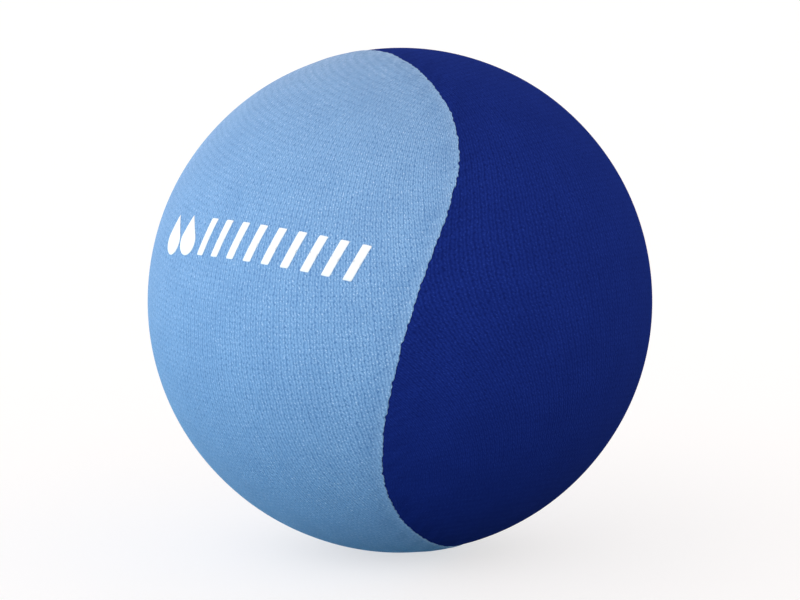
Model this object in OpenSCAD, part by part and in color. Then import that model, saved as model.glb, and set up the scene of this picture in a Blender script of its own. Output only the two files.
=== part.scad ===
// Soft gel ball in a stretch-knit cover, made to be thrown so that it skips across water.
//
// The cover is two oval knit panels whose long axes cross, sewn edge to edge along one wavy seam and
// turned right side out. The light panel's edge folds under itself, and both seam allowances lie
// beneath it in a groove that they press into the gel. The whole ball is drawn about its centre.

/* [Ball] */
// Outside diameter of the covered ball
ball_d = 56; // [50:0.5:62]
// Thickness of the stretched knit
knit_t = 0.5; // [0.4:0.05:0.6]

/* [Seam] */
// Degrees that the seam swings to each side of its mean circle
seam_swing = 16.4; // [8:0.1:20]
// Degrees of skew in each swing, where one flank is steeper than the other
seam_skew = -1.0; // [-2:0.1:2]
// Number of straight pieces that stand for the seam line
seam_pieces = 96; // [72:4:144]
// Width of the turned-in allowance
allowance_w = 3.2; // [2.6:0.1:4]
// Clearance between the fold of the light panel and the dark panel beside it
fold_gap = 0.05; // [0.02:0.01:0.1]

/* [Thread] */
// Diameter of the sewing thread
thread_d = 0.14; // [0.12:0.01:0.18]
// Stitches in one whole turn of the seam
stitches = 92; // [80:4:120]
// Distance from the fold to the line of needle stitches
needle_line = 0.9; // [0.8:0.05:1.1]
// Length of one stitch where the turning hole is closed by hand, in machine stitches
hand_stitch = 1.5; // [1:0.25:2]
// Machine stitches that the turning hole leaves out
hole_stitches = 18; // [12:1:24]

/* [Printed mark] */
// Height of the slanted bars
bar_h = 4.2; // [3:0.1:5]
// Width of each bar
bar_w = 1.0; // [0.6:0.1:1.4]
// Sideways lean of each bar
bar_lean = 1.3; // [0:0.1:2]
// Number of bars
bar_count = 9; // [3:1:12]
// Distance from one bar to the next along the surface
bar_pitch = 2.45; // [2:0.05:3]
// Number of water drops that stand before the bars
drop_count = 2; // [1:1:3]
// Height of each drop
drop_h = 4.5; // [4:0.1:5]
// Distance from one drop to the next, and a little less than from the nearest one to the bars
drop_pitch = 3.4; // [3.2:0.1:4]
// Thickness of the transfer film
film_t = 0.06; // [0.04:0.01:0.1]

/* [Hidden] */
$fn = 120;

// How the ball lies: turns of the seam's mean circle and of the print about X, Y and Z
seam_turn = [47.5, -72.4, 139.1];
print_turn = [-20.5, 3.4, -32.2];
// From the middle of the first bar to the middle of the nearest drop
bars_to_drop = drop_pitch + 0.2;

// Radii of the layers under the light panel's edge, from the outside in
ball_r = ball_d / 2;
under_cover_r = ball_r - knit_t;
thread_room = thread_d + 0.04;
ply_gap = 0.02;
light_ply_top_r = under_cover_r - thread_room;
light_ply_low_r = light_ply_top_r - knit_t;
dark_ply_top_r = light_ply_low_r - ply_gap;
dark_ply_low_r = dark_ply_top_r - knit_t;
groove_floor_r = dark_ply_low_r - thread_room;
core_r = under_cover_r - 0.04;

// Radii that the threads run at: above, beside and below the two allowances
thread_top_r = under_cover_r - thread_room / 2;
thread_mid_r = light_ply_low_r - ply_gap / 2;
thread_low_r = dark_ply_low_r - thread_room / 2;

// Places across the seam, in mm from the fold: dark side positive
edge_loop = allowance_w + thread_d / 2 + 0.05;
inner_loop = needle_line + thread_d + 0.06;
groove_to = edge_loop + thread_d / 2 + 0.15;
riser_to = fold_gap + knit_t;
groove_from = riser_to + 0.06;

// A reach that every wedge goes out to, well clear of the ball
reach = 3 * ball_r;
stitch = 360 / stitches;
hole_from = 270 - stitch * hole_stitches / 2;
hole_to = 270 + stitch * hole_stitches / 2;

function unit(v) = v / norm(v);

// Degrees of arc on the ball's surface for a length along it
function arc(length) = length / ball_r * 180 / PI;

// The seam as a direction from the centre, at a turn around the mean circle's axis
function seam_lat(turn) = seam_swing * sin(2 * turn) + seam_skew * sin(4 * turn);
function seam_dir(turn) =
    let (lat = seam_lat(turn)) [cos(lat) * cos(turn), cos(lat) * sin(turn), sin(lat)];
function along_seam(turn) = unit(seam_dir(turn + 0.5) - seam_dir(turn - 0.5));
function to_dark(turn) = unit(cross(seam_dir(turn), along_seam(turn)));

// A direction some mm to the dark side of the seam, and a point there at a radius
function beside(turn, mm) = seam_dir(turn) * cos(arc(mm)) + to_dark(turn) * sin(arc(mm));
function at(turn, mm, r) = beside(turn, mm) * r;

// Everything outward of the ball's centre on one side of a line beside the seam.
// side is 1 for the dark side and -1 for the light one.
module wedge(side, mm) {
    ring = [for (i = [0 : seam_pieces - 1]) at(360 * i / seam_pieces, mm, reach)];
    points = concat([[0, 0, 0], [0, 0, side * 2 * reach]], ring);
    faces = [for (i = [0 : seam_pieces - 1])
        let (a = i + 2, b = (i + 1) % seam_pieces + 2, low = side > 0 ? [a, b] : [b, a])
        each [[0, low[0], low[1]], [1, low[1], low[0]]]];
    polyhedron(points, faces, convexity = 6);
}

module shell(inner_r, outer_r) {
    difference() {
        sphere(outer_r);
        sphere(inner_r);
    }
}

// A solid gel ball with the groove that the folded allowances press into it
module gel_core() {
    color([0.86, 0.88, 0.84])
    rotate(seam_turn)
    difference() {
        sphere(core_r);
        intersection() {
            shell(groove_floor_r, ball_r + 1);
            wedge(1, -groove_to);
            wedge(-1, groove_from);
        }
    }
}

// The light panel, with its edge folded under as the upper ply of the allowance
module light_panel() {
    color([0.36, 0.60, 0.86])
    rotate(seam_turn)
    difference() {
        intersection() {
            shell(light_ply_low_r, ball_r);
            wedge(-1, 0);
        }
        intersection() {
            sphere(under_cover_r);
            wedge(-1, -allowance_w);
        }
        intersection() {
            shell(light_ply_top_r, under_cover_r);
            wedge(-1, -knit_t);
        }
    }
}

// The dark panel, which dips at the seam and runs on beneath the light one as the lower ply
module dark_panel() {
    color([0.05, 0.12, 0.45])
    rotate(seam_turn)
    difference() {
        intersection() {
            shell(dark_ply_low_r, ball_r);
            wedge(1, -allowance_w);
        }
        intersection() {
            sphere(under_cover_r);
            wedge(1, riser_to);
        }
        intersection() {
            shell(dark_ply_top_r, ball_r + 1);
            wedge(-1, fold_gap);
        }
    }
}

// A square-sectioned thread through the points of a path. lean is a direction for each point that
// the path never runs along there, and it sets which way the section faces.
module thread(path, lean) {
    last = len(path) - 1;
    corners = 4;
    legs = [for (i = [0 : last - 1]) unit(path[i + 1] - path[i])];
    rings = [for (i = [0 : last])
        let (run = unit(legs[max(i - 1, 0)] + legs[min(i, last - 1)]),
             u = unit(cross(run, lean[i])), v = cross(run, u))
        for (k = [0 : corners - 1])
            path[i] + (u * cos(360 * k / corners) + v * sin(360 * k / corners)) * thread_d / 2];
    walls = [for (i = [0 : last - 1]) for (k = [0 : corners - 1])
        let (a = i * corners + k, b = i * corners + (k + 1) % corners)
        each [[a, b, b + corners], [a, b + corners, a + corners]]];
    start = [for (k = [corners - 1 : -1 : 0]) k];
    end = [for (k = [0 : corners - 1]) last * corners + k];
    polyhedron(rings, concat(walls, [start, end]), convexity = 10);
}

// Stitches that lie on the upper ply and dip through both plies at each hole
module running_stitch(from, count, length) {
    holes = [for (k = [0 : count - 1]) from + length * k];
    turns = [for (h = holes) each [h, h + 0.2 * length, h + 0.8 * length]];
    radii = [for (h = holes) each [thread_low_r, thread_top_r, thread_top_r]];
    path = [for (i = [0 : len(turns) - 1]) at(turns[i], -needle_line, radii[i])];
    thread(path, [for (t = turns) to_dark(t)]);
}

// Loops that cross one face of the allowance and turn round its cut edge, once each stitch.
// face is 1 for the upper ply and -1 for the lower one, whose loops fall between the others.
// Each step of a loop gives its place along the stitch, the distance from the fold, the radius and
// how far the thread has tipped over the edge.
module looper(face) {
    face_r = face > 0 ? thread_top_r : thread_low_r;
    first = hole_to + stitch * (face > 0 ? 1 : 1.5);
    count = stitches - hole_stitches - 2;
    steps = [[-0.12, inner_loop, face_r, 0], [0.12, inner_loop, face_r, 0],
             [0.36, edge_loop, face_r, 0.5], [0.42, edge_loop, thread_mid_r, 1],
             [0.58, edge_loop, thread_mid_r, 1], [0.64, edge_loop, face_r, 0.5]];
    marks = [for (k = [0 : count - 1]) for (s = steps) [first + stitch * (k + s[0]), s[1], s[2], s[3]]];
    path = [for (m = marks) at(m[0], -m[1], m[2])];
    thread(path, [for (m = marks) (1 - m[3]) * seam_dir(m[0]) - face * m[3] * to_dark(m[0])]);
}

module needle_thread() {
    color([0.62, 0.76, 0.92])
    rotate(seam_turn)
    running_stitch(hole_to, stitches - hole_stitches, stitch);
}

module upper_looper_thread() {
    color([0.50, 0.68, 0.90])
    rotate(seam_turn)
    looper(1);
}

module lower_looper_thread() {
    color([0.42, 0.60, 0.86])
    rotate(seam_turn)
    looper(-1);
}

// The hand stitches that close the hole which the cover was turned and filled through
module closing_thread() {
    length = stitch * hand_stitch;
    color([0.70, 0.80, 0.92])
    rotate(seam_turn)
    running_stitch(hole_from, floor(hole_stitches / hand_stitch) - 1, length);
}

// An upright outline, pushed out through the surface at an angle around the print's own axis
module through_film(mm) {
    rotate([0, 0, arc(mm)])
    translate([0, -ball_r + 3, 0])
    rotate([90, 0, 0])
    linear_extrude(6)
    children();
}

module bar() {
    polygon([[-bar_w / 2 - bar_lean / 2, -bar_h / 2], [bar_w / 2 - bar_lean / 2, -bar_h / 2],
             [bar_w / 2 + bar_lean / 2, bar_h / 2], [-bar_w / 2 + bar_lean / 2, bar_h / 2]]);
}

// A water drop: a round bottom with straight flanks that meet it smoothly and rise to a point
module drop() {
    round_r = 0.34 * drop_h;
    centre = [0, round_r - drop_h / 2];
    rise = drop_h - round_r;
    flank = acos(round_r / rise);
    touch = [round_r * sin(flank), round_r * cos(flank)];
    translate(centre) {
        circle(round_r);
        polygon([[-touch[0], touch[1]], [0, 0], [touch[0], touch[1]], [0, rise]]);
    }
}

// A plain mark in white transfer film: drops, and a row of slanted bars after them
module printed_mark() {
    row = bar_pitch * (bar_count - 1);
    color("white")
    rotate(print_turn)
    intersection() {
        shell(ball_r + 0.01, ball_r + 0.01 + film_t);
        union() {
            for (k = [0 : bar_count - 1]) {
                through_film(k * bar_pitch - row / 2)
                bar();
            }
            for (k = [0 : drop_count - 1]) {
                through_film(-row / 2 - bars_to_drop - k * drop_pitch)
                drop();
            }
        }
    }
}

gel_core();
light_panel();
dark_panel();
needle_thread();
upper_looper_thread();
lower_looper_thread();
closing_thread();
printed_mark();
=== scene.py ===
"""The looks of a soft water-skimming ball: two stretched knit panels over a gel core, with a white print.

Lengths here are in mm about the ball's centre, unless a comment says otherwise, and to_metres() takes them
to the frame's metres. A place near the seam is given by its turn round the seam and by the mm from it,
positive on the dark side.
"""

import math

import bpy
import numpy as np
from mathutils import Euler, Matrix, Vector


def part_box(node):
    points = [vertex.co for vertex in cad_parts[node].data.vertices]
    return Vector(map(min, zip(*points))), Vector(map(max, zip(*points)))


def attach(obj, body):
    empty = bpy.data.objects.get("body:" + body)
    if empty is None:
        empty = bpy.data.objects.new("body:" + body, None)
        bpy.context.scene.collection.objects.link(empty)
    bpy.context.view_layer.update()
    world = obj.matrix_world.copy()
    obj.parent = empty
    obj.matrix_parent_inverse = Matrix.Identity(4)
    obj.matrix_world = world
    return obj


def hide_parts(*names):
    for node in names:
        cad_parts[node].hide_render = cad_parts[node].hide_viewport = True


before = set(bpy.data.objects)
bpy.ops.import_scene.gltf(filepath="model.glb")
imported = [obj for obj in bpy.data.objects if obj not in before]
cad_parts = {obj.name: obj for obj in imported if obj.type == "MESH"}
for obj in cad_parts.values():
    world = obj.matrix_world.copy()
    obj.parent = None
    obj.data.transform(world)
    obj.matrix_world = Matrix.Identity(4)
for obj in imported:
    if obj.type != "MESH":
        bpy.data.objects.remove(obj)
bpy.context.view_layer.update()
BODY = "ball"
MM = 0.001

# The ball, which is as large as the CAD model's, and its layers. The seam is a wave about a tilted circle:
# it swings to both sides, with one flank a little steeper. SEAM_TURN and PRINT_TURN are in degrees.
cover = [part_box("light_panel"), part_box("dark_panel")]
BALL_R = (max(hi.z for lo, hi in cover) - min(lo.z for lo, hi in cover)) / 2 / MM
THREAD_D = 0.14
SEAM_SWING = math.radians(16.4)
SEAM_SKEW = math.radians(-1.0)
SEAM_TURN = (47.5, -72.4, 139.1)
PRINT_TURN = (-20.5, 3.4, -32.2)
ALLOWANCE_W = 3.2
STITCHES = 92
HOLE_STITCHES = 18
NEEDLE_LINE = 0.9
LIGHT_PLY_LOW_R = BALL_R - 1.18
DARK_PLY_TOP_R = BALL_R - 1.20
THREAD_TOP_R = BALL_R - 0.59
THREAD_MID_R = BALL_R - 1.19
THREAD_LOW_R = BALL_R - 1.79
CORE_R = BALL_R - 0.54
GROOVE_DEPTH = 1.4

# The strip of each panel that follows the seam reaches this far from it
STRIP_HALF_W = 5.0
# The light panel's fold: how far it stands over the ball, half its width, and how square its section is
FOLD_RISE, FOLD_HALF_W, FOLD_POWER = 0.06, 0.34, 2 / 8.0
# The dark panel's dip beside the fold: its depth, half its rounding, its section, and its gap from the fold
DIP_DEPTH, DIP_HALF_W, DIP_POWER, DIP_GAP = 0.02, 0.04, 2 / 2.2, 0.003
# Rings from the strip to a panel's middle: their spacing as a share of the way, and how far apart the points
# of the first ring and of the others may crowd before every second one is left out
RING_STEP, FIRST_RING_GAP, RING_GAP, LEAST_POINTS = 0.012, 0.36, 0.30, 45
# The strip lies 1.1 to 1.7 radians from a panel's middle, and the rings' point counts go by this value
PANEL_REACH = 1.6

rng = np.random.default_rng(7)


# ---------------------------------------------------------------- geometry on the ball


def turned(degrees):
    """The matrix that turns points about X, then Y, then Z."""
    return np.array(Euler([math.radians(a) for a in degrees], "XYZ").to_matrix())


SEAM_FRAME = turned(SEAM_TURN)
PRINT_FRAME = turned(PRINT_TURN)


def unit(v):
    return v / np.linalg.norm(v, axis=-1, keepdims=True)


def seam_lat(turn):
    return SEAM_SWING * np.sin(2 * turn) + SEAM_SKEW * np.sin(4 * turn)


def seam_dir(turn):
    lat = seam_lat(turn)
    return np.stack([np.cos(lat) * np.cos(turn), np.cos(lat) * np.sin(turn), np.sin(lat)], -1)


def to_dark(turn):
    step = math.radians(0.5)
    along = unit(seam_dir(turn + step) - seam_dir(turn - step))
    return unit(np.cross(seam_dir(turn), along))


def beside(turn, mm):
    """The direction from the centre to a place some mm to the dark side of the seam."""
    angle = (np.asarray(mm) / BALL_R)[..., None]
    return seam_dir(turn) * np.cos(angle) + to_dark(turn) * np.sin(angle)


def smooth_step(x, low, high):
    t = np.clip((x - low) / (high - low), 0, 1)
    return t * t * (3 - 2 * t)


# ---------------------------------------------------------------- how the seam wanders

# A stitch that pulls harder than this, in mm, leaves a sharp tooth in the fold, as high as its pull
TOOTH_PULL = 0.165
# The degrees of turn over which a tooth rises and falls
TOOTH_RISE, TOOTH_FALL = 1.5, 0.25


def wander(turn):
    """How far the sewn line strays to the dark side of its mean course, in mm."""
    from_crest = turn - math.radians(62)
    slow = 0.16 * np.cos(6 * from_crest) + 0.12 * np.cos(7 * from_crest)
    quick = 0.03 * np.sin(23 * turn + 1.0) + 0.025 * np.sin(37 * turn + 2.3)
    return slow + quick


stitch_pull = rng.uniform(0.04, 0.22, STITCHES + 1)
stitch_pull[-1] = stitch_pull[0]


def edge_shape(turn):
    """The fold's own outline on top of the wander: it swells between stitches, and has a few teeth."""
    place = np.mod(turn / (2 * math.pi) * STITCHES, STITCHES)
    pull = np.interp(place, np.arange(STITCHES + 1), stitch_pull)
    out = pull * (np.abs(np.sin(math.pi * place)) ** 0.8 - 0.6)
    out = out + 0.035 * np.sin(261 * turn + 3 * np.sin(11 * turn))
    out = out + 0.03 * np.sin(173 * turn + 2 * np.sin(7 * turn))
    for stitch in np.flatnonzero(stitch_pull[:-1] > TOOTH_PULL):
        past = (np.degrees(turn) - stitch * 360 / STITCHES + 180) % 360 - 180
        rise = np.clip(1 + past / TOOTH_RISE, 0, 1) ** 1.5
        fall = np.clip(1 - past / TOOTH_FALL, 0, 1)
        out = out + stitch_pull[stitch] * np.where(past <= 0, rise, fall)
    return out


# ---------------------------------------------------------------- how the knit lies

# How each panel's knit lies: its columns and rows per radian at the panel's middle, how far it is turned,
# how much its columns crowd and bend toward the oval's ends, and how much its rows spread from the middle.
# x runs toward turn 90 of the seam, y toward turn 0.
LIGHT_LIE = {"columns": 38, "rows": 44, "turn": math.radians(20), "crowd": 0.15, "bend": 0.1, "spread": 0.05}
DARK_LIE = {"columns": -29, "rows": 49, "turn": 0.0, "crowd": 0.6, "bend": 0.0, "spread": 0.12}


def knit_place(lie, x, y):
    """The count of stitch columns and rows from the panel's middle."""
    c, s = math.cos(lie["turn"]), math.sin(lie["turn"])
    across, along = c * x - s * y, c * y + s * x
    columns = lie["columns"] * (across * (1 + lie["crowd"] * along**2) + lie["bend"] * along**3)
    rows = lie["rows"] * along * (1 - lie["spread"] * (across**2 + along**2))
    return np.stack([columns, rows], -1)


def middle_coords(d, side):
    """x and y in radians from a panel's middle. side is 1 for the dark panel and -1 for the light one."""
    away = np.arccos(np.clip(side * d[..., 2], -1, 1))
    flat = np.hypot(d[..., 0], d[..., 1]) + 1e-12
    return away * d[..., 1] / flat, away * d[..., 0] / flat


def from_middle(x, y, side):
    away = np.hypot(x, y)
    flat = np.sin(away) / np.where(away < 1e-9, 1, away)
    return np.stack([flat * y, flat * x, side * np.cos(away)], -1)


# ---------------------------------------------------------------- mesh making


def to_metres(points):
    return np.asarray(points, float) * MM


def make_object(name, points, faces, uvs=None):
    """A smooth-shaded mesh object. uvs holds one pair for each point, by layer name."""
    mesh = bpy.data.meshes.new(name)
    mesh.from_pydata(to_metres(points).tolist(), [], [list(f) for f in faces])
    mesh.polygons.foreach_set("use_smooth", np.ones(len(mesh.polygons), bool))
    corner_vertex = np.zeros(len(mesh.loops), np.int32)
    mesh.loops.foreach_get("vertex_index", corner_vertex)
    for layer, pairs in (uvs or {}).items():
        at_corners = np.asarray(pairs, np.float32)[corner_vertex]
        if layer == "edge":
            # The stitch count starts again at turn 0, so a face that spans it counts on instead
            sizes = np.zeros(len(mesh.polygons), np.int32)
            mesh.polygons.foreach_get("loop_total", sizes)
            face_of = np.repeat(np.arange(len(sizes)), sizes)
            most = np.zeros(len(sizes), np.float32)
            np.maximum.at(most, face_of, at_corners[:, 0])
            at_corners[:, 0] += STITCHES * (at_corners[:, 0] < most[face_of] - STITCHES / 2)
        uv = mesh.uv_layers.new(name=layer)
        uv.data.foreach_set("uv", at_corners.ravel())
    mesh.update()
    made = bpy.data.objects.new(name, mesh)
    bpy.context.scene.collection.objects.link(made)
    return made


def strip_faces(first, second, n):
    """Quads between two closed rings of n points that start at these indices."""
    i = np.arange(n)
    j = (i + 1) % n
    return np.stack([first + i, first + j, second + j, second + i], -1).tolist()


def halving_faces(fine, coarse, n):
    """Triangles from a closed ring of n points to one of n / 2."""
    out = []
    for c in range(n // 2):
        a, b, d = fine + 2 * c, fine + 2 * c + 1, fine + (2 * c + 2) % n
        p, q = coarse + c, coarse + (c + 1) % (n // 2)
        out += [[a, b, p], [b, q, p], [b, d, q]]
    return out


SEAM_POINTS = 1440
turns = np.arange(SEAM_POINTS) * 2 * math.pi / SEAM_POINTS


def fold_profile():
    """The light panel across the seam, from the inside of the strip outward over the fold and back.
    Each row is (mm from the edge, radius, mm along the cloth from the edge)."""
    rows = []
    half_h = (BALL_R + FOLD_RISE - LIGHT_PLY_LOW_R) / 2
    for mm in np.linspace(-STRIP_HALF_W, -FOLD_HALF_W - 0.3, 16):
        rows.append((mm, BALL_R + band_rise(mm), mm))
    along = -FOLD_HALF_W
    last = None
    for a in np.linspace(90, -90, 17):
        c, s = math.cos(math.radians(a)), math.sin(math.radians(a))
        mm = -FOLD_HALF_W + FOLD_HALF_W * abs(c) ** FOLD_POWER
        r = LIGHT_PLY_LOW_R + half_h + half_h * math.copysign(abs(s) ** FOLD_POWER, s)
        if last:
            along += math.hypot(mm - last[0], r - last[1])
        last = (mm, r)
        rows.append((mm, r, along))
    for mm in np.linspace(-FOLD_HALF_W - 0.3, -ALLOWANCE_W, 5):
        rows.append((mm, LIGHT_PLY_LOW_R, along + (-FOLD_HALF_W - mm)))
    return rows


def band_rise(mm):
    """The low ridge over the allowances, with a faint crease just in from the fold."""
    ridge = FOLD_RISE * smooth_step(mm, -4.2, -2.4)
    crease_depth, crease_at, crease_w = 0.035, -0.95, 0.18
    return ridge - crease_depth * math.exp(-(((mm - crease_at) / crease_w) ** 2))


def dip_profile():
    """The dark panel across the seam, from its own side down beside the fold and on beneath it."""
    rows = []
    top = BALL_R - DIP_DEPTH
    half_h = (top - DARK_PLY_TOP_R) / 2 + 0.02
    for mm in np.linspace(STRIP_HALF_W, DIP_HALF_W + DIP_GAP + 0.1, 19):
        rows.append((mm, BALL_R - DIP_DEPTH * (1 - smooth_step(mm, 0.6, 2.2)), mm))
    along = DIP_HALF_W + DIP_GAP
    last = None
    for a in np.linspace(90, 0, 10):
        c, s = math.cos(math.radians(a)), math.sin(math.radians(a))
        mm = DIP_GAP + DIP_HALF_W - DIP_HALF_W * abs(c) ** DIP_POWER
        r = top - half_h + half_h * abs(s) ** DIP_POWER
        if last:
            along -= math.hypot(mm - last[0], r - last[1])
        last = (mm, r)
        rows.append((mm, r, along))
    # It bends in under the fold, and then lies flat as the lower ply
    bend_reach = 0.35
    for share in (0.4, 0.75, 1.0):
        bend = math.radians(90 * share)
        mm = DIP_GAP - bend_reach * (1 - math.cos(bend))
        r = (top - half_h) - (top - half_h - DARK_PLY_TOP_R) * math.sin(bend)
        along -= math.hypot(mm - last[0], r - last[1])
        last = (mm, r)
        rows.append((mm, r, along))
    for mm in np.linspace(-0.8, -ALLOWANCE_W, 5):
        rows.append((mm, DARK_PLY_TOP_R, along - (last[0] - mm)))
    return rows


def gel_lumps(d):
    """The faint unevenness of the gel under the cover, in mm."""
    x, y, z = d.T
    broad = 0.03 * np.sin(3.1 * x + 2.0 * np.sin(2.3 * z)) * np.cos(2.7 * y + 1.9 * z)
    small = 0.012 * np.sin(9.0 * x + 3.0 * y) * np.sin(8.0 * z - 2.0 * x)
    return broad + small


def make_panel(name, side, profile, lie):
    """A panel as one open sheet. Its strip along the seam follows the profile, and the rest is rings
    that shrink to the panel's middle."""
    points, knit_uv, edge_uv, faces = [], [], [], []
    stray = wander(turns)
    shape = edge_shape(turns)
    stitch_at = turns / (2 * math.pi) * STITCHES
    for mm, r, along in reversed(profile):
        # The edge's own outline fades out into the panel
        near = float(smooth_step(-abs(mm), -1.6, -0.5))
        fade = float(smooth_step(-abs(mm), -4.6, -2.0))
        shift = stray * fade + shape * near
        d = beside(turns, mm + shift)
        lumps = gel_lumps(d @ SEAM_FRAME.T) if r > BALL_R - 0.5 else 0
        points.append(d * (r + lumps)[..., None] if np.ndim(lumps) else d * r)
        cloth = beside(turns, along + shift)
        x, y = middle_coords(cloth, side)
        knit_uv.append(knit_place(lie, x, y))
        edge_uv.append(np.stack([stitch_at, np.full(SEAM_POINTS, along)], -1))
    rings = len(points)
    for k in range(rings - 1):
        faces += strip_faces(k * SEAM_POINTS, (k + 1) * SEAM_POINTS, SEAM_POINTS)
    x_edge, y_edge = middle_coords(beside(turns, side * STRIP_HALF_W), side)
    across = np.hypot(x_edge, y_edge) * BALL_R
    # q is how far out from the panel's middle a ring lies, as a share of the way to the strip
    n, step, q, count = SEAM_POINTS, 1, 1.0, rings * SEAM_POINTS
    last_start = (rings - 1) * SEAM_POINTS
    while q > RING_STEP * 1.2:
        q -= RING_STEP
        widest_gap = FIRST_RING_GAP if n == SEAM_POINTS else RING_GAP
        halve = 2 * math.pi * q * PANEL_REACH * BALL_R / n < widest_gap and n > LEAST_POINTS
        new_step = step * 2 if halve else step
        x, y = q * x_edge[::new_step], q * y_edge[::new_step]
        d = from_middle(x, y, side)
        lumps = gel_lumps(d @ SEAM_FRAME.T)
        points.append(d * (BALL_R + lumps)[:, None])
        knit_uv.append(knit_place(lie, x, y))
        from_seam = side * (STRIP_HALF_W + (1 - q) * across[::new_step])
        edge_uv.append(np.stack([stitch_at[::new_step], from_seam], -1))
        if halve:
            faces += halving_faces(last_start, count, n)
        else:
            faces += strip_faces(last_start, count, n)
        last_start, n, step = count, len(x), new_step
        count += n
    centre = from_middle(np.zeros(1), np.zeros(1), side)
    points.append(centre * (BALL_R + gel_lumps(centre @ SEAM_FRAME.T))[:, None])
    knit_uv.append(np.zeros((1, 2)))
    edge_uv.append(np.array([[0.0, side * (STRIP_HALF_W + across.mean())]]))
    faces += [[last_start + i, last_start + (i + 1) % n, count] for i in range(n)]
    if side < 0:
        faces = [f[::-1] for f in faces]
    points = np.concatenate(points) @ SEAM_FRAME.T
    uvs = {"knit": np.concatenate(knit_uv), "edge": np.concatenate(edge_uv)}
    return make_object(name, points, faces, uvs)


# ---------------------------------------------------------------- threads

STITCH = 2 * math.pi / STITCHES
HOLE_FROM = math.radians(270) - STITCH * HOLE_STITCHES / 2
HOLE_TO = math.radians(270) + STITCH * HOLE_STITCHES / 2
# The thread that one whole turn of its twist takes
TWIST_LENGTH = 0.6


def rounded(path, steps=4):
    """A smooth curve through the points of a path."""
    p = np.vstack([2 * path[0] - path[1], path, 2 * path[-1] - path[-2]])
    t = np.arange(steps)[:, None] / steps
    out = []
    ease = 0.35
    for a, b, c, d in zip(p, p[1:], p[2:], p[3:]):
        leave, arrive = ease * (c - a), ease * (d - b)
        out.append(b + t * leave + t**2 * (3 * (c - b) - 2 * leave - arrive)
                   + t**3 * (2 * (b - c) + leave + arrive))
    return np.vstack(out + [path[-1:]])


def make_thread(name, path):
    """A two-ply twisted thread along a path: its section is two lobes that turn as it runs."""
    curve = rounded(path)
    run = unit(np.gradient(curve, axis=0))
    side = np.zeros_like(curve)
    side[0] = unit(np.cross(run[0], [0.3, 0.5, 0.8]))
    for i in range(1, len(curve)):
        side[i] = unit(side[i - 1] - run[i] * np.dot(side[i - 1], run[i]))
    other = np.cross(run, side)
    length = np.concatenate([[0], np.cumsum(np.linalg.norm(np.diff(curve, axis=0), axis=1))])
    corners = 10
    a = np.arange(corners) * 2 * math.pi / corners
    lobes = THREAD_D / 2 * (0.84 + 0.16 * np.cos(2 * a))
    twist = length / TWIST_LENGTH * 2 * math.pi
    angle = a[None] + twist[:, None]
    points = curve[:, None] + lobes[None, :, None] * (
        np.cos(angle)[..., None] * side[:, None] + np.sin(angle)[..., None] * other[:, None])
    faces = []
    for k in range(len(curve) - 1):
        faces += strip_faces(k * corners, (k + 1) * corners, corners)
    faces = [f[::-1] for f in faces]
    faces.append(list(range(corners)))
    faces.append([(len(curve) - 1) * corners + i for i in range(corners)][::-1])
    return make_object(name, points.reshape(-1, 3) @ SEAM_FRAME.T, faces)


def seam_path(marks):
    """Points at (turn, mm, radius) beside the wandering seam."""
    t, mm, r = np.array(marks).T
    return beside(t, mm + wander(t)) * r[:, None]


def running_marks(start, count, length):
    marks = []
    for k in range(count):
        hole = start + length * k
        marks += [(hole, -NEEDLE_LINE, THREAD_LOW_R), (hole + 0.2 * length, -NEEDLE_LINE, THREAD_TOP_R),
                  (hole + 0.8 * length, -NEEDLE_LINE, THREAD_TOP_R)]
    return marks


def looper_marks(face):
    face_r = THREAD_TOP_R if face > 0 else THREAD_LOW_R
    start = HOLE_TO + STITCH * (1 if face > 0 else 1.5)
    # The loops go round the cut edge, and stop short of the needle line
    edge, inner = ALLOWANCE_W + 0.12, NEEDLE_LINE + 0.2
    steps = [(-0.12, inner, face_r), (0.12, inner, face_r), (0.36, edge, face_r),
             (0.42, edge, THREAD_MID_R), (0.58, edge, THREAD_MID_R), (0.64, edge, face_r)]
    return [(start + STITCH * (k + s), -mm, r)
            for k in range(STITCHES - HOLE_STITCHES - 2) for s, mm, r in steps]


# ---------------------------------------------------------------- the print


def outline_bar():
    height, width, lean, corner = 4.2, 1.0, 1.3, 0.14
    quad = [(-width / 2 - lean / 2, -height / 2), (width / 2 - lean / 2, -height / 2),
            (width / 2 + lean / 2, height / 2), (-width / 2 + lean / 2, height / 2)]
    return round_corners(quad, corner)


def outline_drop():
    height = 4.5
    r = 0.34 * height
    rise = height - r
    flank = math.acos(r / rise)
    start, end = math.pi / 2 - flank, -1.5 * math.pi + flank
    arc = [(r * math.cos(a), r * math.sin(a)) for a in np.linspace(end, start, 60)]
    loop = arc + [(0.0, rise)]
    return [(x, y + r - height / 2) for x, y in loop]


def round_corners(quad, radius, steps=6):
    out = []
    for i, p in enumerate(quad):
        p = np.array(p)
        a = unit(np.array(quad[i - 1]) - p)
        b = unit(np.array(quad[(i + 1) % len(quad)]) - p)
        for t in np.linspace(0, 1, steps):
            out.append(tuple(p + radius * (a * (1 - t) ** 2 + b * t**2)))
    return out


def even_points(loop, spacing):
    """Points at even distances round a closed outline."""
    p = np.array(loop + [loop[0]])
    gone = np.concatenate([[0], np.cumsum(np.linalg.norm(np.diff(p, axis=0), axis=1))])
    n = int(gone[-1] / spacing)
    at = np.arange(n) * gone[-1] / n
    return np.stack([np.interp(at, gone, p[:, 0]), np.interp(at, gone, p[:, 1])], -1)


FILM_T, FILM_LIFT = 0.06, 0.012
BAR_COUNT, BAR_PITCH = 9, 2.45
DROP_COUNT, DROP_PITCH = 2, 3.4
BARS_TO_DROP = 3.6


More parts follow.
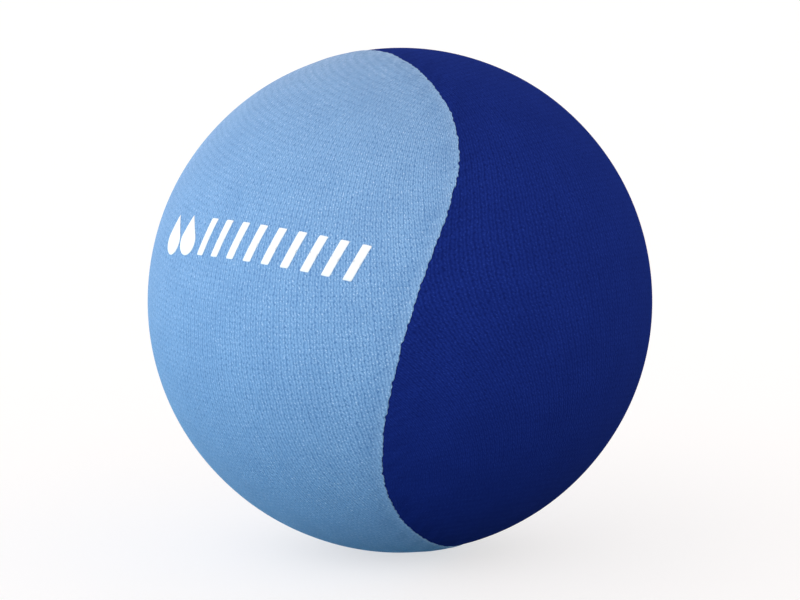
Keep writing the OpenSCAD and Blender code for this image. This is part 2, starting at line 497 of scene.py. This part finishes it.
def make_print():
    """The transfer film's islands, each a thin skin that follows the ball, with rounded rims."""
    row = BAR_PITCH * (BAR_COUNT - 1)
    islands = [(k * BAR_PITCH - row / 2, outline_bar()) for k in range(BAR_COUNT)]
    islands += [(-row / 2 - BARS_TO_DROP - k * DROP_PITCH, outline_drop()) for k in range(DROP_COUNT)]
    points, faces, knit_uv = [], [], []
    count = 0
    for place, outline in islands:
        loop = even_points(outline, 0.1)
        n = len(loop)
        middle = loop.mean(0)
        reach = np.linalg.norm(loop - middle, axis=1, keepdims=True)
        inward = (loop - middle) / reach
        # Rings go from under the cover's surface over the rim and in to the middle
        rim = [(0.0, -0.03), (0.0, 0.35), (0.03, 0.8), (0.08, 1.0)]
        rings = [(loop - inward * step, BALL_R + FILM_LIFT + FILM_T * lift) for step, lift in rim]
        top_r = BALL_R + FILM_LIFT + FILM_T
        for share in (0.85, 0.68, 0.5, 0.32, 0.15):
            rings.append((middle + (loop - middle) * share, top_r))
        turn = place / BALL_R
        c, s = math.cos(turn), math.sin(turn)
        placed = []
        for flat, r in rings:
            flat_points = np.stack([flat[:, 0], -np.sqrt(r * r - (flat**2).sum(1)), flat[:, 1]], -1)
            placed.append(flat_points)
        placed.append([[middle[0], -math.sqrt(top_r**2 - (middle**2).sum()), middle[1]]])
        p = np.concatenate(placed)
        p = np.stack([c * p[:, 0] - s * p[:, 1], s * p[:, 0] + c * p[:, 1], p[:, 2]], -1)
        world = p @ PRINT_FRAME.T
        d = unit(world)
        world = world + d * gel_lumps(d)[:, None]
        points.append(world)
        x, y = middle_coords(d @ SEAM_FRAME, -1)
        knit_uv.append(knit_place(LIGHT_LIE, x, y))
        for k in range(len(rings) - 1):
            faces += strip_faces(count + k * n, count + (k + 1) * n, n)
        last = count + (len(rings) - 1) * n
        faces += [[last + i, last + (i + 1) % n, count + len(rings) * n] for i in range(n)]
        count += len(rings) * n + 1
    return make_object("print_film", np.concatenate(points), faces, {"knit": np.concatenate(knit_uv)})


def make_core():
    """The gel ball, with the groove that the allowances press into it."""
    n, rows = 360, 180
    points, faces = [], []
    turn = np.arange(n) * 2 * math.pi / n
    lats = np.linspace(-math.pi / 2, math.pi / 2, rows + 1)[1:-1]
    for lat in lats:
        flat = np.cos(lat)
        d = np.stack([flat * np.cos(turn), flat * np.sin(turn), np.full(n, math.sin(lat))], -1)
        # The seam runs at a slant, so a place is a little nearer to it than its latitude says
        across = (lat - seam_lat(turn)) * BALL_R * 0.93
        groove = smooth_step(across, -ALLOWANCE_W - 0.9, -ALLOWANCE_W - 0.1)
        groove = groove * (1 - smooth_step(across, 0.1, 0.9))
        points.append(d * (CORE_R - GROOVE_DEPTH * groove)[:, None])
    for k in range(len(lats) - 1):
        faces += strip_faces(k * n, (k + 1) * n, n)
    points.append([[0, 0, -CORE_R]])
    points.append([[0, 0, CORE_R]])
    south, north = len(lats) * n, len(lats) * n + 1
    faces += [[(i + 1) % n, i, south] for i in range(n)]
    top = (len(lats) - 1) * n
    faces += [[top + i, top + (i + 1) % n, north] for i in range(n)]
    return make_object("core_gel", np.concatenate(points) @ SEAM_FRAME.T, faces)


# ---------------------------------------------------------------- materials


class Graph:
    """Short calls for building a material's nodes."""

    def __init__(self, name):
        self.material = bpy.data.materials.new(name)
        self.material.use_nodes = True
        self.tree = self.material.node_tree
        self.bsdf = next(n for n in self.tree.nodes if n.type == "BSDF_PRINCIPLED")

    def node(self, kind, **settings):
        made = self.tree.nodes.new(kind)
        for key, value in settings.items():
            setattr(made, key, value)
        return made

    def put(self, socket, value):
        if isinstance(value, bpy.types.NodeSocket):
            self.tree.links.new(value, socket)
        else:
            socket.default_value = value

    def math(self, operation, a, b=None, c=None, clamp=False):
        made = self.node("ShaderNodeMath", operation=operation, use_clamp=clamp)
        for socket, value in zip(made.inputs, (a, b, c)):
            if value is not None:
                self.put(socket, value)
        return made.outputs[0]

    def mix(self, factor, a, b):
        made = self.node("ShaderNodeMix", data_type="RGBA")
        self.put(made.inputs["Factor"], factor)
        self.put(made.inputs[6], a)
        self.put(made.inputs[7], b)
        return made.outputs[2]

    def ramp(self, value, low, high, to_low=0.0, to_high=1.0, smooth=True):
        made = self.node("ShaderNodeMapRange", interpolation_type="SMOOTHSTEP" if smooth else "LINEAR")
        for socket, number in zip(made.inputs, (value, low, high, to_low, to_high)):
            self.put(socket, number)
        return made.outputs[0]

    def uv(self, layer):
        made = self.node("ShaderNodeUVMap", uv_map=layer)
        parts = self.node("ShaderNodeSeparateXYZ")
        self.tree.links.new(made.outputs[0], parts.inputs[0])
        return made.outputs[0], parts.outputs[0], parts.outputs[1]

    def noise(self, vector, scale, detail=2.0, roughness=0.5):
        made = self.node("ShaderNodeTexNoise")
        self.put(made.inputs["Vector"], vector)
        self.put(made.inputs["Scale"], scale)
        self.put(made.inputs["Detail"], detail)
        self.put(made.inputs["Roughness"], roughness)
        return made.outputs[0]

    def place(self):
        return self.node("ShaderNodeTexCoord").outputs["Object"]

    def principled(self, **sockets):
        for name, value in sockets.items():
            self.put(self.bsdf.inputs[name.replace("_", " ")], value)

    def bump(self, height, distance, strength):
        made = self.node("ShaderNodeBump")
        self.put(made.inputs["Height"], height)
        self.put(made.inputs["Distance"], distance)
        self.put(made.inputs["Strength"], strength)
        return made.outputs[0]


def rgba(r, g, b):
    """A display colour, 0 to 255, as linear light."""
    linear = [((v / 255 + 0.055) / 1.055) ** 2.4 if v > 10 else v / 255 / 12.92 for v in (r, g, b)]
    return (*linear, 1.0)


# How far the yarn's own twist leans each stitch, in columns
LEAN = 0.10
# A stitch's leg: its slant, its place at the row's foot, half its width in columns, half its length in rows
LEG_SLANT, LEG_AT, LEG_HALF_W, LEG_HALF_L = 0.165, 0.144, 0.17, 0.66


def knit_height(g, columns, rows):
    """Jersey's face: each stitch is two legs that lean apart, and each leg's ends lie over the next ones.
    Returns the legs' height, and how far a place is from the row's two ends, each from 0 to 1."""
    f = g.math("FRACT", rows)
    leaning = g.math("MULTIPLY_ADD", f, LEAN, columns)
    m = g.math("ABSOLUTE", g.math("SUBTRACT", g.math("FRACT", leaning), 0.5))
    highest = None
    for shift in (0.0, 1.0, -1.0):
        p = g.math("ADD", f, shift)
        middle = g.math("MULTIPLY_ADD", p, LEG_SLANT, LEG_AT)
        off = g.math("DIVIDE", g.math("SUBTRACT", m, middle), LEG_HALF_W)
        end = g.math("DIVIDE", g.math("SUBTRACT", p, 0.5), LEG_HALF_L)
        end = g.math("MULTIPLY", end, end)
        outside = g.math("MULTIPLY_ADD", off, off, g.math("MULTIPLY", end, end))
        leg = g.math("SQRT", g.math("SUBTRACT", 1.0, outside, clamp=True))
        highest = leg if highest is None else g.math("MAXIMUM", highest, leg)
    along = g.math("POWER", g.math("SINE", g.math("MULTIPLY", f, math.pi)), 0.8)
    return g.math("MULTIPLY", highest, g.math("MULTIPLY_ADD", along, 0.32, 0.68)), along


def knit_material(name, yarn, lit, hole, gap_depth, sparks, sheen_tint, sheen, gloss, folded):
    """Stretch knit: its yarn, a painted highlight on the tops of its stitches, and painted shade in the gaps
    between them. sparks and gap_depth say how strong the last two are, and folded adds the marks that lie
    behind the seam's fold, with more painted shade and a painted highlight."""
    g = Graph(name)
    vector, columns, rows = g.uv("knit")
    place = g.place()
    # Rows and columns aren't ruled lines: they drift, and each stitch sits a little off its place
    drift = 0.5
    for scale in (0.35, 1.2):
        astray = g.math("SUBTRACT", g.noise(vector, scale, 1.0), 0.5)
        columns = g.math("MULTIPLY_ADD", astray, drift, columns)
        astray = g.math("SUBTRACT", g.noise(vector, scale * 0.8, 1.0), 0.5)
        rows = g.math("MULTIPLY_ADD", astray, drift, rows)
    height, along = knit_height(g, columns, rows)
    # Painted glints: each bit of yarn gets more or less of the painted highlight, and some gaps are more open
    # than others, with stronger painted shade
    spark = g.ramp(g.noise(vector, 3.4, 1.0, 0.7), 0.52, 0.68)
    patch = g.noise(place, 260.0, 3.0, 0.6)
    edge_vector, stitch, mm = g.uv("edge")
    from_seam = g.math("ABSOLUTE", mm)
    # The stitches are pulled open near the seam, and lie flatter toward the panel's middle: the painted
    # highlights and the painted gap shade are stronger near the seam
    pulled = g.ramp(from_seam, 3.0, 24.0, 1.2, 0.95, smooth=False)
    lit_share = g.math("MULTIPLY_ADD", spark, sparks, 0.06)
    lit_share = g.math("MULTIPLY", g.ramp(height, 0.35, 0.9), lit_share)
    lit_share = g.math("MULTIPLY", lit_share, pulled)
    openness = g.ramp(g.noise(vector, 1.5, 1.0, 0.6), 0.35, 0.65, 0.45 * gap_depth, 1.45 * gap_depth)
    gap = g.math("MULTIPLY", g.ramp(height, 0.0, 0.8, 1.0, 0.0), g.math("MULTIPLY", openness, pulled))
    # The gaps are widest where the legs of one row part over the next, so their painted shade shows as rows
    # of dots
    gap = g.math("MULTIPLY", gap, g.ramp(along, 0.25, 0.9, 1.25, 0.75))
    # The painted gap shade fades to half its strength toward the bottom of the ball. Heights here are in
    # metres
    place_parts = g.node("ShaderNodeSeparateXYZ")
    g.put(place_parts.inputs[0], place)
    gap = g.math("MULTIPLY", gap, g.ramp(place_parts.outputs[2], -0.023, -0.006, 0.5, 1.0))
    # The gaps take the darker hole colour as painted shade, and the stitch tops take the lit colour as
    # painted highlight
    colour = g.mix(gap, g.mix(lit_share, yarn, lit), hole)
    colour = g.mix(g.ramp(patch, 0.25, 0.75, 0.0, 0.14), colour, hole)
    # The cloth puckers along the seam, in short pleats that run off it at a slant
    slant = g.node("ShaderNodeCombineXYZ")
    g.put(slant.inputs[0], g.math("MULTIPLY_ADD", mm, 0.5, stitch))
    g.put(slant.inputs[1], g.math("MULTIPLY", mm, 0.12))
    near_seam = g.ramp(from_seam, 0.4, 4.4, 1.0, 0.0)
    near_seam = g.math("MULTIPLY", near_seam, g.ramp(from_seam, 0.0, 0.8, 0.1, 1.0))
    pleat = g.math("MULTIPLY", g.ramp(g.noise(slant.outputs[0], 1.4, 1.0), 0.35, 0.65), near_seam)
    # The pleats are dented in the bump, and painted toward the hole colour as shade
    colour = g.mix(g.math("MULTIPLY", pleat, 0.2), colour, hole)
    # Behind the folded edge lie needle holes here and there and a faint crease, both painted dark as shade,
    # and a slightly paler band, a painted highlight along the fold
    if folded:
        stitch_mm, pits_back, crease_back, band_back = 1.87, 0.52, 0.72, 0.3
        dx = g.math("MULTIPLY", g.math("SUBTRACT", g.math("FRACT", stitch), 0.5), stitch_mm)
        dy = g.math("ADD", mm, pits_back)
        gone = g.math("SQRT", g.math("ADD", g.math("MULTIPLY", dx, dx), g.math("MULTIPLY", dy, dy)))
        some = g.ramp(g.noise(edge_vector, 0.21, 1.0), 0.50, 0.62)
        pit = g.math("MULTIPLY", g.ramp(gone, 0.07, 0.17, 1.0, 0.0), some)
        from_crease = g.math("ABSOLUTE", g.math("ADD", mm, crease_back))
        crease = g.math("MULTIPLY", g.ramp(from_crease, 0.0, 0.2, 1.0, 0.0), 0.08)
        band = g.ramp(g.math("ABSOLUTE", g.math("ADD", mm, band_back)), 0.2, 1.1, 0.08, 0.0)
        colour = g.mix(band, colour, lit)
        colour = g.mix(g.math("MAXIMUM", g.math("MULTIPLY", pit, 0.8), crease), colour, hole)
        height = g.math("SUBTRACT", height, g.math("MULTIPLY", pit, 1.5))
    height = g.math("SUBTRACT", height, pleat)
    fine = g.noise(vector, 9.0, 3.0, 0.65)
    relief = g.math("MULTIPLY_ADD", fine, 0.25, height)
    normal = g.bump(relief, 0.00006, 0.4)
    g.principled(Base_Color=colour, Roughness=g.ramp(height, 0.0, 1.0, 0.78, 0.56), Normal=normal)
    g.principled(Sheen_Weight=sheen, Sheen_Roughness=0.45, Sheen_Tint=sheen_tint, Specular_IOR_Level=gloss)
    return g.material


def film_material():
    g = Graph("transfer film")
    vector, columns, rows = g.uv("knit")
    height = knit_height(g, columns, rows)[0]
    grain = g.noise(vector, 3.0, 3.0, 0.6)
    white, shade = (0.975, 0.975, 0.975, 1), (0.80, 0.86, 0.93, 1)
    relief = g.math("MULTIPLY_ADD", grain, 0.3, height)
    g.principled(Base_Color=g.mix(g.ramp(height, 0.0, 1.0, 0.10, 0.0), white, shade))
    g.principled(Roughness=g.ramp(grain, 0.3, 0.7, 0.42, 0.55), Normal=g.bump(relief, 0.00003, 0.6))
    g.principled(Specular_IOR_Level=0.45)
    return g.material


def thread_material(name, colour, shade):
    g = Graph(name)
    place = g.place()
    fibre = g.noise(place, 9000.0, 3.0, 0.7)
    g.principled(Base_Color=g.mix(fibre, colour, shade), Roughness=0.5, Normal=g.bump(fibre, 0.00002, 0.6))
    g.principled(Sheen_Weight=0.2, Sheen_Roughness=0.4)
    return g.material


def gel_material():
    g = Graph("gel")
    place = g.place()
    cloud = g.noise(place, 90.0, 4.0, 0.6)
    bubbles = g.node("ShaderNodeTexVoronoi")
    g.put(bubbles.inputs["Vector"], place)
    g.put(bubbles.inputs["Scale"], 420.0)
    spots = g.ramp(bubbles.outputs[0], 0.05, 0.2, 1.0, 0.0)
    clear, cloudy, bubble = (0.72, 0.75, 0.70, 1), (0.60, 0.66, 0.62, 1), (0.85, 0.87, 0.84, 1)
    colour = g.mix(g.ramp(cloud, 0.3, 0.7, 0.0, 0.6), clear, cloudy)
    colour = g.mix(g.math("MULTIPLY", spots, 0.5), colour, bubble)
    g.principled(Base_Color=colour, Roughness=g.ramp(cloud, 0.3, 0.7, 0.18, 0.34))
    g.principled(Normal=g.bump(cloud, 0.0002, 0.4), Coat_Weight=0.2, IOR=1.42)
    g.principled(Subsurface_Weight=0.4, Subsurface_Radius=(0.004, 0.004, 0.003))
    return g.material


def dress(obj, material, node):
    obj.data.materials.append(material)
    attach(obj, BODY)
    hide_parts(node)


# ---------------------------------------------------------------- the pieces

light = make_panel("cover_light", -1, fold_profile(), LIGHT_LIE)
dark = make_panel("cover_dark", 1, dip_profile(), DARK_LIE)
light_knit = knit_material(
    "light knit", yarn=rgba(128, 171, 217), lit=rgba(200, 224, 249), hole=rgba(72, 116, 172), gap_depth=0.44,
    sparks=0.64, sheen_tint=(0.75, 0.87, 1.0, 1), sheen=0.12, gloss=0.05, folded=True)
dark_knit = knit_material(
    "dark knit", yarn=rgba(24, 43, 122), lit=rgba(44, 68, 156), hole=rgba(10, 20, 74), gap_depth=0.30,
    sparks=0.40, sheen_tint=(0.15, 0.25, 0.9, 1), sheen=0.05, gloss=0.0, folded=False)
dress(light, light_knit, "light_panel")
dress(dark, dark_knit, "dark_panel")

core = make_core()
dress(core, gel_material(), "gel_core")

THREAD = thread_material("sewing thread", (0.35, 0.52, 0.80, 1), (0.20, 0.36, 0.66, 1))
# The hand stitches are this many times as long as the machine's
HAND_RATIO = 1.5
hand_count = int(HOLE_STITCHES / HAND_RATIO) - 1
threads = [
    ("thread_needle", running_marks(HOLE_TO, STITCHES - HOLE_STITCHES, STITCH), "needle_thread"),
    ("thread_upper_looper", looper_marks(1), "upper_looper_thread"),
    ("thread_lower_looper", looper_marks(-1), "lower_looper_thread"),
    ("thread_closing", running_marks(HOLE_FROM, hand_count, STITCH * HAND_RATIO), "closing_thread"),
]
for thread_name, marks, node_name in threads:
    dress(make_thread(thread_name, seam_path(marks)), THREAD, node_name)

dress(make_print(), film_material(), "printed_mark")


# ---------------------------------------------------------------- floor, light and camera

# From here on, lengths are in metres
FLOOR_Z = -BALL_R * MM
FLOOR_HALF = 30.0
KEY_POWER, KEY_SIZE, KEY_PLACE = 0.8, 0.8, (-0.35, -0.75, 0.55)
TENT_POWER = 1.96
BLACK, BELOW, BAND, OVERHEAD = (0, 0, 0), (0.0, 0.25, 0.4), (1.0, 0.94, 0.88), (0.7, 0.65, 0.65)
# Where each colour of the tent lies, by the sine of the height that it is seen at
TENT = [
    (-1.0, BLACK), (-0.7, BLACK), (-0.25, BELOW), (0.1, BAND), (0.3, BAND), (0.55, OVERHEAD), (1.0, BLACK),
]
# How much brighter its left side is than its middle, low down and higher up
LEFT_LOW, LEFT_HIGH = 1.0, 0.04
# The camera's distance and height angle, and its lens in mm on a 36 mm sensor
CAMERA_AWAY, CAMERA_UP, LENS = 0.6, math.radians(10), 243.18


def make_floor():
    """A plain pale floor. It throws no light, reflection or shadow on the ball, and glows a little."""
    g = Graph("pale floor")
    grain = g.ramp(g.noise(g.place(), 40.0, 3.0), 0.3, 0.7, 0.0, 0.25)
    g.principled(Base_Color=g.mix(grain, (0.40, 0.40, 0.40, 1), (0.39, 0.39, 0.392, 1)), Roughness=0.9)
    g.principled(Specular_IOR_Level=0.1, Emission_Color=(1, 1, 1, 1), Emission_Strength=0.62)
    corners = [(-1, -1), (1, -1), (1, 1), (-1, 1)]
    mesh = bpy.data.meshes.new("floor")
    mesh.from_pydata([(x * FLOOR_HALF, y * FLOOR_HALF, FLOOR_Z) for x, y in corners], [], [(0, 1, 2, 3)])
    mesh.materials.append(g.material)
    floor = bpy.data.objects.new("floor", mesh)
    bpy.context.scene.collection.objects.link(floor)
    floor.visible_diffuse = False
    floor.visible_glossy = False
    floor.visible_shadow = False


def make_key():
    """One large soft lamp, up on the left in front, aimed at the ball."""
    data = bpy.data.lights.new("key", "AREA")
    data.size = KEY_SIZE
    data.energy = KEY_POWER
    lamp = bpy.data.objects.new("key", data)
    lamp.location = KEY_PLACE
    lamp.rotation_euler = (-Vector(KEY_PLACE)).to_track_quat("-Z", "Y").to_euler()
    bpy.context.scene.collection.objects.link(lamp)


def make_world():
    """A pale tent of light: bright from the horizon up, dimmer overhead, dark below, brighter on its left."""
    world = bpy.data.worlds.new("studio")
    world.use_nodes = True
    tree = world.node_tree
    direction = tree.nodes.new("ShaderNodeTexCoord").outputs["Generated"]
    parts = tree.nodes.new("ShaderNodeSeparateXYZ")
    tree.links.new(direction, parts.inputs[0])
    ramp = tree.nodes.new("ShaderNodeValToRGB")
    lift = tree.nodes.new("ShaderNodeMath")
    lift.operation = "MULTIPLY_ADD"
    lift.inputs[1].default_value = 0.5
    lift.inputs[2].default_value = 0.5
    tree.links.new(parts.outputs[2], lift.inputs[0])
    tree.links.new(lift.outputs[0], ramp.inputs[0])
    while len(ramp.color_ramp.elements) < len(TENT):
        ramp.color_ramp.elements.new(0.5)
    for element, (height, colour) in zip(ramp.color_ramp.elements, TENT):
        element.position = (height + 1) / 2
        element.color = (*colour, 1)
    # The left side's extra light fades from its low value to its high one across the horizon
    horizon = 0.15
    lean = tree.nodes.new("ShaderNodeMapRange")
    limits = (-horizon, horizon, -LEFT_LOW * TENT_POWER, -LEFT_HIGH * TENT_POWER)
    for socket, value in zip(lean.inputs[1:], limits):
        socket.default_value = value
    tree.links.new(parts.outputs[2], lean.inputs[0])
    strength = tree.nodes.new("ShaderNodeMath")
    strength.operation = "MULTIPLY_ADD"
    strength.inputs[2].default_value = TENT_POWER
    tree.links.new(parts.outputs[0], strength.inputs[0])
    tree.links.new(lean.outputs[0], strength.inputs[1])
    backdrop = tree.nodes["Background"]
    tree.links.new(ramp.outputs[0], backdrop.inputs[0])
    tree.links.new(strength.outputs[0], backdrop.inputs[1])
    bpy.context.scene.world = world


def make_camera():
    data = bpy.data.cameras.new("camera")
    data.sensor_width = 36
    data.lens = LENS
    data.clip_start = 0.01
    data.clip_end = 60
    camera = bpy.data.objects.new("camera", data)
    camera.location = (0, -CAMERA_AWAY * math.cos(CAMERA_UP), CAMERA_AWAY * math.sin(CAMERA_UP))
    camera.rotation_euler = (-Vector(camera.location)).to_track_quat("-Z", "Y").to_euler()
    bpy.context.scene.collection.objects.link(camera)
    bpy.context.scene.camera = camera


make_floor()
make_key()
make_world()
make_camera()
bpy.context.scene.view_settings.view_transform = "Standard"
